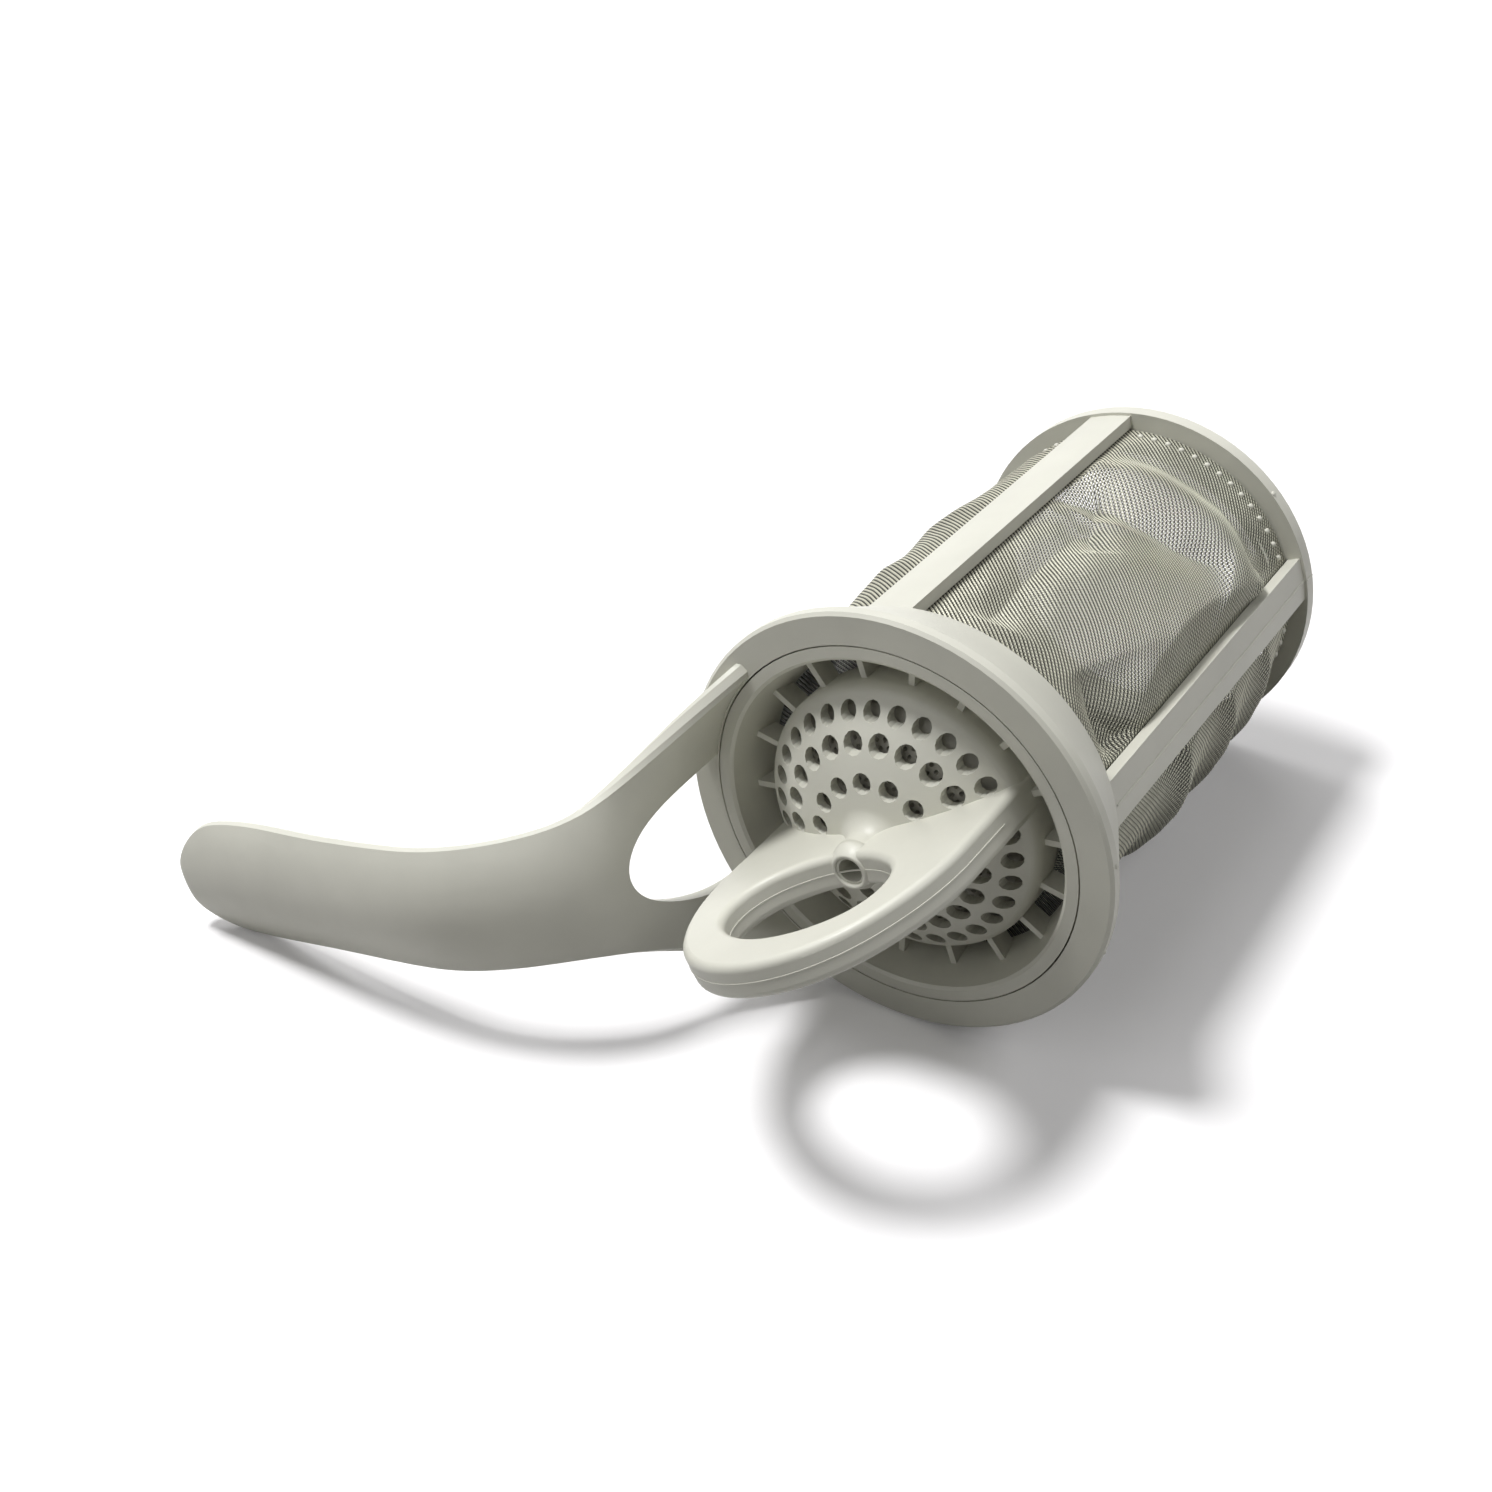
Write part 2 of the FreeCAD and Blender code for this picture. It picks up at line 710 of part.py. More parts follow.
def loop_shape():
    """Flat loop handle with rounded edges, standing on the dome across its hub."""
    half, side_top, top = float(d.loop_half_width), float(d.loop_side_top), float(d.loop_top)
    foot = -float(d.dome_skirt_depth) + float(d.dome_wall)
    thick, rounding = float(d.loop_thickness), float(d.loop_round)
    sides = Part.makePolygon([
        Vector(-half, 0, side_top), Vector(-half, 0, foot), Vector(half, 0, foot), Vector(half, 0, side_top)])
    outer = Part.Face(Part.Wire(Part.__sortEdges__(oval_arcs(side_top, half, top - side_top) + sides.Edges)))
    hole_half = float(d.loop_hole_half_width)
    hole_z = float(d.loop_hole_top + d.loop_hole_bottom) / 2
    hole_height = float(d.loop_hole_top - d.loop_hole_bottom) / 2
    upper = oval_arcs(0, hole_half, hole_height)
    lower = [arc.mirror(Vector(0, 0, 0), Vector(0, 0, 1)) for arc in upper]
    hole = Part.Face(Part.Wire(Part.__sortEdges__(upper + lower)))
    hole.translate(Vector(0, 0, hole_z))
    shift = Vector(0, -thick / 2, 0)
    plate = outer.cut(hole)
    plate.translate(shift)
    solid = plate.extrude(Vector(0, thick, 0))
    edges = [
        edge for edge in solid.Edges
        if abs(abs(edge.CenterOfMass.y) - thick / 2) < 0.001 and edge.BoundBox.ZMax > foot + 0.001
    ]
    return solid.makeFillet(rounding, edges)


def dome_void_shape():
    """Space inside the dome, which nothing that stands on it may reach."""
    inner_r = float(d.dome_sphere_r - d.dome_wall)
    side_r = float(d.dome_r - d.dome_wall)
    centre_z = float(d.dome_top - d.dome_sphere_r)
    depth = 2 * float(d.dome_skirt_depth)
    sphere = Part.makeSphere(inner_r, Vector(0, 0, centre_z))
    tube = Part.makeCylinder(side_r, depth + float(d.dome_top), Vector(0, 0, -depth))
    return sphere.common(tube)


def strainer():
    """Collar, fins, dome and loop in one moulding, with the bore down its hub."""
    loop = boolean("Cut", "loop_on_dome", plain_feature("loop", loop_shape()),
                   plain_feature("dome_void", dome_void_shape()))
    joined = boolean("MultiFuse", "strainer_joined", strainer_collar(), strainer_fins(), strainer_dome(), loop)
    bore = doc.addObject("Part::Cylinder", "hub_bore")
    bind(bore, "Radius", d.hub_bore_r)
    bind(bore, "Height", d.hub_top + d.dome_top)
    return boolean("Cut", "strainer", joined, bore)


# Inner sieve: a finely perforated cup held under the dome by its rim

def inner_sieve():
    """Second, finely perforated wall under the dome."""
    body = new_body("sieve_cup")
    sphere_r = d.dome_sphere_r - d.dome_wall - d.sieve_gap
    top = d.dome_top - d.dome_wall - d.sieve_gap
    side_r = d.dome_r - d.dome_wall - d.sieve_side_clearance
    profile, corner_z = domed_sketch(
        body, "sieve_profile", sphere_r, top, side_r, d.sieve_wall, d.sieve_depth)
    turned = revolve(body, "sieve_turned", profile)
    shoulder = soften(body, "Fillet", "sieve_shoulder", turned, side_r, corner_z, d.sieve_round)
    rim = new_sketch(body, "rim_profile", "XZ_Plane")
    outline(rim, [
        (side_r - d.sieve_wall / 2, -d.dome_skirt_depth),
        (d.sieve_rim_r, -d.dome_skirt_depth),
        (d.sieve_rim_r, -(d.dome_skirt_depth + d.sieve_rim_height)),
        (side_r - d.sieve_wall / 2, -(d.dome_skirt_depth + d.sieve_rim_height)),
    ])
    revolve(body, "sieve_rim", rim)
    rings = [
        (d.sieve_first_ring_r + d.sieve_ring_step * ring, d.sieve_hole_r,
         d.sieve_first_ring_count + d.sieve_ring_count_step * ring)
        for ring in range(int(float(d.sieve_ring_total)))
    ]
    sides = int(float(d.sieve_hole_sides))
    holes = hole_blocks(rings, sides, -float(d.dome_skirt_depth), float(d.dome_top))
    return boolean("Cut", "inner_sieve", body, plain_feature("sieve_holes", holes))


# Resting position: on the rim of the flange, the foot and the tip of the lever

def resting_placement():
    """Placement that lays the filter on the ground plane, before it is centred."""
    tilt = math.atan2(float(d.flange_r - d.foot_r), float(d.frame_length - d.rim_band - d.foot_bevel))
    height = float(d.flange_r) * math.cos(tilt) + float(d.rim_band) * math.sin(tilt)
    at, bend_end, straight_start = lever_path()
    tip_r = float(d.lever_half_width)
    tip_centre = float(d.lever_reach) - tip_r
    edge_z = at(bend_end)[0].z - float(d.lever_crown) - float(d.lever_wall) / 2
    room = (height + edge_z * math.sin(tilt)) / math.cos(tilt) - tip_r
    roll = math.degrees(math.acos(room / tip_centre))
    half_turn = 180.0
    upright = Rotation(Vector(0, 0, 1), half_turn - roll)
    laid = Rotation(Vector(0, 1, 0), math.degrees(tilt) - 90.0)
    return Placement(Vector(0, 0, height), laid.multiply(upright))


frame = microfilter_frame()
sleeve = mesh_sleeve()
lifted = strainer()
sieve = inner_sieve()
doc.recompute()

resting = resting_placement()
turned_in_seat = Placement(Vector(0, 0, 0), Rotation(Vector(0, 0, 1), float(d.strainer_turn)))
parts = {
    "microfilter_frame": (frame, Placement()),
    "mesh_sleeve": (sleeve, Placement()),
    "strainer": (lifted, turned_in_seat),
    "inner_sieve": (sieve, turned_in_seat),
}
boxes = []
for thing, own in parts.values():
    laid = thing.Shape.copy()
    laid.Placement = resting.multiply(own)
    boxes.append(laid.optimalBoundingBox(False))
middle_x = (min(box.XMin for box in boxes) + max(box.XMax for box in boxes)) / 2
middle_y = (min(box.YMin for box in boxes) + max(box.YMax for box in boxes)) / 2
to_centre = Placement(Vector(-middle_x, -middle_y, 0), Rotation())
for thing, own in parts.values():
    thing.Placement = to_centre.multiply(resting).multiply(own)
doc.recompute()

# Nothing is written unless every object is sound
for thing in doc.Objects:
    if "Invalid" in thing.State or "Error" in thing.State:
        raise RuntimeError(f"{thing.Name} failed: {thing.State}")
os.makedirs("parts", exist_ok=True)
for label, (thing, own) in parts.items():
    thing.Label = label
    shape = thing.Shape
    if shape.isNull() or not shape.isValid():
        raise RuntimeError(f"{label} is not a sound solid")
    shape.exportStep(f"parts/{label}.step")
    print(label, len(shape.Solids), "solid,", round(shape.Volume), "mm3", shape.BoundBox)
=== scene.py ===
"""Looks of the dishwasher filter: cloth, fine sieve, mould marks, floor, light and camera."""

import json
import math

import bpy
import numpy as np
from mathutils import Matrix, Vector


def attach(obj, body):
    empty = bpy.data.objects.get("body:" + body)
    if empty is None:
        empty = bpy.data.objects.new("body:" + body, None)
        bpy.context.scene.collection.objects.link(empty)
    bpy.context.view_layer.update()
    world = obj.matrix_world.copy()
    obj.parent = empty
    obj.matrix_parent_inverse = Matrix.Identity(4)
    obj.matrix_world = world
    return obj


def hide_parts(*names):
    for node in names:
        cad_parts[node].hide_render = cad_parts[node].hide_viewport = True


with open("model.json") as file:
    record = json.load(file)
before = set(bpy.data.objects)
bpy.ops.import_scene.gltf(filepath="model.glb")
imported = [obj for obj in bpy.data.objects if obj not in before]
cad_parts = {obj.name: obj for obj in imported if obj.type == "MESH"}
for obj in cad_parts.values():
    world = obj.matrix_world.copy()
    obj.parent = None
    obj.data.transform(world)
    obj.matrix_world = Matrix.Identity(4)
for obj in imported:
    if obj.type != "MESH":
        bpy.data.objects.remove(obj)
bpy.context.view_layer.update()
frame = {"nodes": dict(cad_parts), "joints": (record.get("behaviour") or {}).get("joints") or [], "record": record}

# The filter's own frame: Z out of the flange, X along the lever, lengths in millimetres
MM = 0.001
FOOT_MOUNT_DEPTH = 107.2
LEVER_ROLL = math.radians(76.2545)
STRAINER_TURN = math.radians(14.1)

OUTWARD = Vector(frame["joints"][0]["axis"]).normalized()
foot_mount = next(mount for mount in frame["record"]["mounts"] if mount["name"] == "foot_spigot")
FACE_CENTRE = Vector(foot_mount["pos_m"]) + OUTWARD * (FOOT_MOUNT_DEPTH * MM)
# Down, as far as the flange's plane goes down
floorward = Vector((0, 0, -1)) + OUTWARD * OUTWARD.z
floorward.normalize()
LEVER_WAY = floorward * math.cos(LEVER_ROLL) + Vector((0, 1, 0)) * math.sin(LEVER_ROLL)
SIDEWAYS = OUTWARD.cross(LEVER_WAY)
AXES = np.array([LEVER_WAY, SIDEWAYS, OUTWARD])

FULL_TURN = 2 * math.pi


def to_world(points):
    """Points in the filter's own frame, in millimetres, as points of the scene."""
    return np.asarray(points, float) @ AXES * MM + np.array(FACE_CENTRE)


def polar(radius, angle, z):
    """Points at a radius, an angle from the lever and a height over the flange face."""
    radius, angle, z = np.broadcast_arrays(radius, angle, z)
    return np.stack([radius * np.cos(angle), radius * np.sin(angle), z], axis=-1)


def grid_faces(index):
    """Four-sided faces between the neighbours of a grid of point numbers, in its last two axes."""
    corners = [index[..., :-1, :-1], index[..., :-1, 1:], index[..., 1:, 1:], index[..., 1:, :-1]]
    return np.stack(corners, axis=-1).reshape(-1, 4)


def closed(index):
    """A grid of point numbers whose rows come back to their start."""
    return np.concatenate([index, index[..., :1]], axis=-1)


# Materials

# Sockets of a mix node for plain values and for colours: first and second input, result
VALUE_SOCKETS = (2, 3, 0)
COLOUR_SOCKETS = (6, 7, 2)

# The slow variation of a colour, with the noise levels of its darkest and its lightest tone
MOTTLE_SCALE = 38.0
MOTTLE_DETAIL = 4.0
MOTTLE_DARK_AT = 0.3
MOTTLE_LIGHT_AT = 0.7
# The fine grain of roughness and relief, with its depth in metres
GRAIN_SCALE = 900.0
GRAIN_DETAIL = 3.0
GRAIN_DEPTH = 0.0004
ROUGHNESS_SWING = 0.06


def node(tree, kind, **values):
    """A shader node with some of its sockets or properties set."""
    made = tree.nodes.new(kind)
    for key, value in values.items():
        if key in made.inputs:
            made.inputs[key].default_value = value
        else:
            setattr(made, key, value)
    return made


def mapped(tree, source, low, high, start=0.0, end=1.0):
    """A value that goes from low to high while the source goes from start to end."""
    limits = {"From Min": start, "From Max": end, "To Min": low, "To Max": high}
    made = node(tree, "ShaderNodeMapRange", **limits)
    tree.links.new(source, made.inputs["Value"])
    return made.outputs["Result"]


def material(name, colour, roughness, metallic=0.0, mottle=0.06, bump=0.04, specular=0.5):
    """A surface with a fine grain, slow variation of its colour and a little relief."""
    made = bpy.data.materials.new(name)
    made.use_nodes = True
    tree = made.node_tree
    shader = tree.nodes["Principled BSDF"]
    shader.inputs["Metallic"].default_value = metallic
    shader.inputs["Specular IOR Level"].default_value = specular
    place = node(tree, "ShaderNodeTexCoord")
    cloud = node(tree, "ShaderNodeTexNoise", Scale=MOTTLE_SCALE, Detail=MOTTLE_DETAIL)
    fine = node(tree, "ShaderNodeTexNoise", Scale=GRAIN_SCALE, Detail=GRAIN_DETAIL)
    tree.links.new(place.outputs["Object"], cloud.inputs["Vector"])
    tree.links.new(place.outputs["Object"], fine.inputs["Vector"])
    tint = node(tree, "ShaderNodeValToRGB")
    dark, light = tint.color_ramp.elements
    dark.position = MOTTLE_DARK_AT
    dark.color = (*(channel * (1 - mottle) for channel in colour), 1)
    light.position = MOTTLE_LIGHT_AT
    light.color = (*(min(channel * (1 + mottle), 1.0) for channel in colour), 1)
    tree.links.new(cloud.outputs["Fac"], tint.inputs["Fac"])
    tree.links.new(tint.outputs["Color"], shader.inputs["Base Color"])
    grain = fine.outputs["Fac"]
    rough = mapped(tree, grain, roughness - ROUGHNESS_SWING, roughness + ROUGHNESS_SWING)
    tree.links.new(rough, shader.inputs["Roughness"])
    relief = node(tree, "ShaderNodeBump", Strength=bump, Distance=GRAIN_DEPTH)
    tree.links.new(grain, relief.inputs["Height"])
    tree.links.new(relief.outputs["Normal"], shader.inputs["Normal"])
    return made


plastic = material("moulded_plastic", colour=(0.605, 0.60, 0.53), roughness=0.42)
steel_cloth = material("steel_cloth", colour=(0.96, 0.94, 0.76), roughness=0.38,
                       metallic=0.35, mottle=0.08, bump=0.0, specular=0.2)
sieve_plastic = material("sieve_plastic", colour=(0.42, 0.41, 0.36), roughness=0.5)
# Painted shade: what is left of the steel's colour at the edges of a wire and where it passes under
PAINTED_WIRE_SHADE_LEVEL = 0.01


def paint_shade_between_wires(finish, level):
    """Paint shade on the wires: they keep their colour where they pass over and darken towards their edges and
    where they pass under.

    The attribute crown marks what passes over as seen from outside, keel as seen from inside.
    """
    tree = finish.node_tree
    shader = tree.nodes["Principled BSDF"]
    base = shader.inputs["Base Color"].links[0].from_socket
    crown = node(tree, "ShaderNodeAttribute", attribute_name="crown")
    keel = node(tree, "ShaderNodeAttribute", attribute_name="keel")
    facing = node(tree, "ShaderNodeNewGeometry")
    shown = node(tree, "ShaderNodeMix", data_type="FLOAT")
    first, second, result = VALUE_SOCKETS
    tree.links.new(facing.outputs["Backfacing"], shown.inputs["Factor"])
    tree.links.new(crown.outputs["Fac"], shown.inputs[first])
    tree.links.new(keel.outputs["Fac"], shown.inputs[second])
    shade = mapped(tree, shown.outputs[result], level, 1.0)
    product = node(tree, "ShaderNodeVectorMath", operation="SCALE")
    tree.links.new(base, product.inputs[0])
    tree.links.new(shade, product.inputs["Scale"])
    tree.links.new(product.outputs[0], shader.inputs["Base Color"])


# Painted shade between the cloth's wires and where they pass under
paint_shade_between_wires(steel_cloth, PAINTED_WIRE_SHADE_LEVEL)


def dress(name, finish):
    """Give a carried-over node its finish."""
    mesh = frame["nodes"][name].data
    mesh.materials.clear()
    mesh.materials.append(finish)


dress("microfilter_frame", plastic)
dress("strainer", plastic)


def add_piece(name, points, faces, finish, body, smooth=True):
    """A mesh given in the filter's own frame, riding on a body."""
    mesh = bpy.data.meshes.new(name)
    mesh.from_pydata(to_world(points).tolist(), [], [list(face) for face in faces])
    mesh.update()
    if smooth:
        mesh.polygons.foreach_set("use_smooth", [True] * len(mesh.polygons))
    mesh.materials.append(finish)
    piece = bpy.data.objects.new(name, mesh)
    bpy.context.scene.collection.objects.link(piece)
    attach(piece, body)
    return piece


# Woven cloth: warps and wefts that pass over and under each other, one panel between each two ribs

PANELS = 4
PANEL_ANGLE = FULL_TURN / PANELS
CLOTH_R = 33.45
CLOTH_TOP = -12.6
CLOTH_BOTTOM = -105.2
WIRE_PITCH = 0.50
WIRE_HALF_WIDTH = 0.185
# How far a wire's middle stands over and its edges under its own line
WIRE_CREST = 0.085
# How far a wire's line weaves out and in
WIRE_SWING = 0.09

# The part of a panel that shows between two ribs, and its size on the cloth
RIB_HALF_ANGLE = math.radians(7.1)
WINDOW_TOP = -15.4
WINDOW_BOTTOM = -105.6
WINDOW_WIDTH = 44.3
WINDOW_LENGTH = WINDOW_TOP - WINDOW_BOTTOM

# What all folds are multiplied by, and the powers of their fall from the line and to its ends
FOLD_STRENGTH = 1.35
FOLD_SHARPNESS = 1.3
FOLD_END_POWER = 6

# Folds of each panel: lines of points across and along the window, with the fold's height and
# its reach to the left and to the right of the line
CREASES = {
    0: [
        ([(0.0, 0.30), (0.45, 0.33), (1.0, 0.30)], 1.2, 5.0, 10.0),
        ([(0.0, 0.62), (0.5, 0.65), (1.0, 0.60)], 1.2, 5.0, 10.0),
    ],
    1: [
        ([(1.05, 0.345), (0.72, 0.355), (0.4, 0.365), (-0.05, 0.35)], 2.3, 10.0, 4.2),
        ([(1.05, 0.575), (0.72, 0.585), (0.4, 0.595), (-0.05, 0.58)], 2.3, 10.0, 4.2),
        ([(1.05, 0.785), (0.72, 0.795), (0.4, 0.805), (-0.05, 0.79)], 2.0, 8.0, 4.0),
    ],
    2: [
        ([(-0.05, 0.118), (0.08, 0.106), (0.2, 0.112), (0.36, 0.135)], -2.3, 3.0, 11.0),
        ([(0.02, 0.16), (0.12, 0.24), (0.18, 0.33), (0.20, 0.45),
          (0.185, 0.56), (0.15, 0.66), (0.10, 0.76), (0.06, 0.83)], 2.3, 13.0, 5.2),
        ([(0.77, 0.08), (0.80, 0.28), (0.80, 0.48), (0.85, 0.60)], -1.9, 4.5, 11.0),
        ([(0.64, 0.48), (0.74, 0.53), (0.80, 0.61), (0.86, 0.68), (0.94, 0.72)], -1.3, 3.0, 3.0),
        ([(0.20, 0.72), (0.42, 0.672), (0.65, 0.655), (0.92, 0.69)], -2.7, 8.0, 3.6),
        ([(1.03, 0.60), (0.94, 0.635), (0.86, 0.69)], -1.6, 3.2, 3.0),
        ([(1.03, 0.55), (0.90, 0.56), (0.78, 0.54)], 0.45, 4.0, 2.5),
        ([(1.03, 0.67), (0.96, 0.70), (0.93, 0.79)], 0.8, 2.0, 2.5),
        ([(-0.02, 0.755), (0.045, 0.795), (0.085, 0.85)], 1.0, 1.6, 2.4),
        ([(0.12, 0.885), (0.4, 0.87), (0.7, 0.862), (0.95, 0.87)], -0.7, 4.5, 3.5),
    ],
    3: [
        ([(0.0, 0.25), (0.4, 0.30), (1.0, 0.22)], 0.7, 9.0, 5.0),
        ([(0.0, 0.58), (0.5, 0.52), (1.0, 0.60)], 0.8, 6.0, 10.0),
    ],
}

# Broad swells of each panel: middle across and along, half size across and along, height
SWELLS = {
    0: [(0.5, 0.5, 0.40, 0.35, 0.8)],
    1: [(0.5, 0.5, 0.60, 0.60, 0.6)],
    2: [
        (0.55, 0.30, 0.30, 0.25, 0.6),
        (0.60, 0.78, 0.34, 0.06, 2.2),
        (0.13, 0.90, 0.12, 0.05, -0.7),
    ],
    3: [(0.3, 0.5, 0.35, 0.45, 1.7)],
}

# Ripples of the whole cloth: height, waves across and along, shift from panel to panel
RIPPLES = [
    (0.16, 9.7, -6.1, 2.1),
    (0.10, 17.0, 23.0, 0.7),
    (0.05, 41.0, -37.0, 1.9),
]

# The cloth lies flat where the frame holds it: share of the window over which the slack comes in
SIDE_HOLD = 0.05
TOP_HOLD = 0.04
FOOT_HOLD = 0.05
FOOT_HOLD_END = 0.955


def panel_place(angle, z):
    """Share of the way across a window from its first rib and along it from the flange."""
    across = (angle - RIB_HALF_ANGLE) / (PANEL_ANGLE - 2 * RIB_HALF_ANGLE)
    along = (WINDOW_TOP - z) / WINDOW_LENGTH
    return across, along


def crease(across, along, line, height, reach_left, reach_right):
    """A fold along a line: sharp at the line and dying away over its own reach on either side."""
    x, y = across * WINDOW_WIDTH, along * WINDOW_LENGTH
    nearest = np.full(x.shape, np.inf)
    side = np.ones(x.shape)
    share = np.zeros(x.shape)
    spans = len(line) - 1
    for number, (start, end) in enumerate(zip(line, line[1:])):
        from_x, from_y = start[0] * WINDOW_WIDTH, start[1] * WINDOW_LENGTH
        step_x, step_y = end[0] * WINDOW_WIDTH - from_x, end[1] * WINDOW_LENGTH - from_y
        progress = (x - from_x) * step_x + (y - from_y) * step_y
        part = np.clip(progress / (step_x ** 2 + step_y ** 2), 0, 1)
        off_x, off_y = x - from_x - part * step_x, y - from_y - part * step_y
        distance = np.hypot(off_x, off_y)
        closer = distance < nearest
        nearest = np.where(closer, distance, nearest)
        side = np.where(closer, np.sign(step_x * off_y - step_y * off_x), side)
        share = np.where(closer, (number + part) / spans, share)
    reach = np.where(side > 0, reach_right, reach_left)
    ends = 1 - (2 * share - 1) ** FOLD_END_POWER
    return height * ends * np.exp(-((nearest / reach) ** FOLD_SHARPNESS))


def slack(panel, angle, z):
    """How far the cloth of a panel stands in or out, in millimetres."""
    across, along = panel_place(angle, z)
    total = np.zeros(np.shape(across))
    for middle_x, middle_y, half_x, half_y, height in SWELLS[panel]:
        x, y = (across - middle_x) / half_x, (along - middle_y) / half_y
        total += height * np.exp(-(x ** 2 + y ** 2))
    for line, height, reach_left, reach_right in CREASES[panel]:
        total += FOLD_STRENGTH * crease(across, along, line, height, reach_left, reach_right)
    for height, waves_across, waves_along, shift in RIPPLES:
        total += height * np.sin(waves_across * across + waves_along * along + shift * panel)
    held_sides = np.clip(across / SIDE_HOLD, 0, 1) * np.clip((1 - across) / SIDE_HOLD, 0, 1)
    held_ends = np.clip(along / TOP_HOLD, 0, 1)
    held_ends = held_ends * np.clip((FOOT_HOLD_END - along) / FOOT_HOLD, 0, 1)
    return total * np.sin(held_sides * math.pi / 2) * np.sin(held_ends * math.pi / 2)


def crossings(panel):
    """Angle, height and cloth radius of a panel's crossings, and the side that the warp passes.

    The side is 1 where the warp lies outside the weft, else -1.
    """
    warps = int(round(CLOTH_R * PANEL_ANGLE / WIRE_PITCH))
    wefts = int(round((CLOTH_TOP - CLOTH_BOTTOM) / WIRE_PITCH))
    angles = (np.arange(warps) + 0.5) / warps * PANEL_ANGLE
    heights = CLOTH_TOP + (np.arange(wefts) + 0.5) / wefts * (CLOTH_BOTTOM - CLOTH_TOP)
    angle, z = np.meshgrid(angles, heights, indexing="ij")
    radius = CLOTH_R + slack(panel, angle, z)
    even = np.add.outer(np.arange(warps), np.arange(wefts)) % 2 == 0
    return panel * PANEL_ANGLE + angle, z, radius, np.where(even, 1.0, -1.0)


def wires(angle, z, radius, over, along_axis):
    """Points, faces and marks of a panel's warps, which run along the axis, or of its wefts.

    Each wire is a strip three points wide. The marks are two rows with 1 at the middle points
    that pass over as seen from outside, and as seen from inside.
    """
    rows = []
    for side in (-1, 0, 1):
        crest = WIRE_CREST if side == 0 else -WIRE_CREST
        height = radius + over * WIRE_SWING + crest
        if along_axis:
            rows.append(polar(height, angle + side * WIRE_HALF_WIDTH / CLOTH_R, z))
        else:
            rows.append(polar(height, angle, z + side * WIRE_HALF_WIDTH))
    strips = np.stack(rows, axis=2)
    marks = np.zeros((2, *strips.shape[:3]))
    marks[0, :, :, 1] = over > 0
    marks[1, :, :, 1] = over < 0
    if not along_axis:
        strips = strips.transpose(1, 0, 2, 3)[:, :, ::-1]
        marks = marks.transpose(0, 2, 1, 3)
    index = np.arange(strips.size // 3).reshape(strips.shape[:3])
    return strips.reshape(-1, 3), grid_faces(index), marks.reshape(2, -1)


for panel in range(PANELS):
    angle, z, radius, over = crossings(panel)
    warp_points, warp_faces, warp_marks = wires(angle, z, radius, over, True)
    weft_points, weft_faces, weft_marks = wires(angle, z, radius, -over, False)
    points = np.concatenate([warp_points, weft_points])
    faces = np.concatenate([warp_faces, weft_faces + len(warp_points)])
    piece = add_piece(f"cloth_{panel + 1}", points, faces, steel_cloth,
                      "microfilter")
    # Marks that set where the painted shade on the wires falls
    marks = np.concatenate([warp_marks, weft_marks], axis=1)
    for name, values in zip(("crown", "keel"), marks):
        layer = piece.data.attributes.new(name, "FLOAT", "POINT")
        layer.data.foreach_set("value", values)
    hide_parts("mesh_sleeve")


# Inner sieve: a cup whose cap is finely perforated

SIEVE_R = 38.9
SIEVE_CENTRE = -36.5
SIEVE_WALL = 1.1
SIEVE_SIDE_R = 24.7
SIEVE_BOTTOM = -24.0
SIEVE_RIM_R = 26.9
SIEVE_RIM_TOP = -10.5
SIEVE_RIM_BOTTOM = -11.9
# The round edge between cap and side: its size, and its start on the cap and its middle, as
# shares of that size in from the side and up from the side's top
SIEVE_ROUND = 2.4
ROUND_START = 0.75
ROUND_MIDDLE_IN = 0.25
ROUND_MIDDLE_UP = 0.55
# The corner inside it: this far down from the side's top and this far in from the side
INSIDE_DROP = 0.3
INSIDE_CHAMFER = 0.9
ARC_POINTS = 4

HOLE_PITCH = 1.55
HOLE_ROW_PITCH = HOLE_PITCH * math.sqrt(0.75)
HOLE_R = 0.42
HOLE_CORNERS = 12
PERFORATED_R = 21.8
# The perforated cells lie this much under the shell's face, which reaches in over the last of them
CELL_SINK = 0.03
SHELL_OVERLAP = 1.2


def sieve_height(radius, below=0.0):
    """Height of the cap's outer face, or of one below it."""
    return np.sqrt((SIEVE_R - below) ** 2 - np.asarray(radius) ** 2) + SIEVE_CENTRE


def perforated_cap():
    """Six-sided cells, each with a round hole, over the middle of the cap."""
    # The lattice's columns lean, so it reaches two steps further than the disc of holes
    reach = int(PERFORATED_R / HOLE_PITCH) + 2
    steps = np.arange(-reach, reach + 1)
    columns, rows = np.meshgrid(steps, steps)
    x = (columns + rows * 0.5) * HOLE_PITCH
    y = rows * HOLE_ROW_PITCH
    inside = np.hypot(x, y) < PERFORATED_R
    centres = np.stack([x[inside], y[inside]], axis=-1)
    corners = np.arange(HOLE_CORNERS)
    turn = corners * FULL_TURN / HOLE_CORNERS
    ring = np.stack([np.cos(turn), np.sin(turn)], axis=-1)
    flat_r = HOLE_PITCH / 2
    cell = ring * np.where(corners % 2 == 0, flat_r, flat_r / math.cos(math.pi / 6))[:, None]
    hole = ring * HOLE_R
    layers = []
    for outline, depth in ((cell, CELL_SINK), (hole, CELL_SINK),
                           (hole, SIEVE_WALL), (cell, SIEVE_WALL)):
        plan = centres[:, None, :] + outline[None, :, :]
        height = sieve_height(np.hypot(plan[..., 0], plan[..., 1]), depth)
        layers.append(np.concatenate([plan, height[..., None]], axis=-1))
    points = np.stack(layers, axis=1)
    index = np.arange(points.size // 3).reshape(points.shape[:3])
    return points.reshape(-1, 3), grid_faces(closed(index))


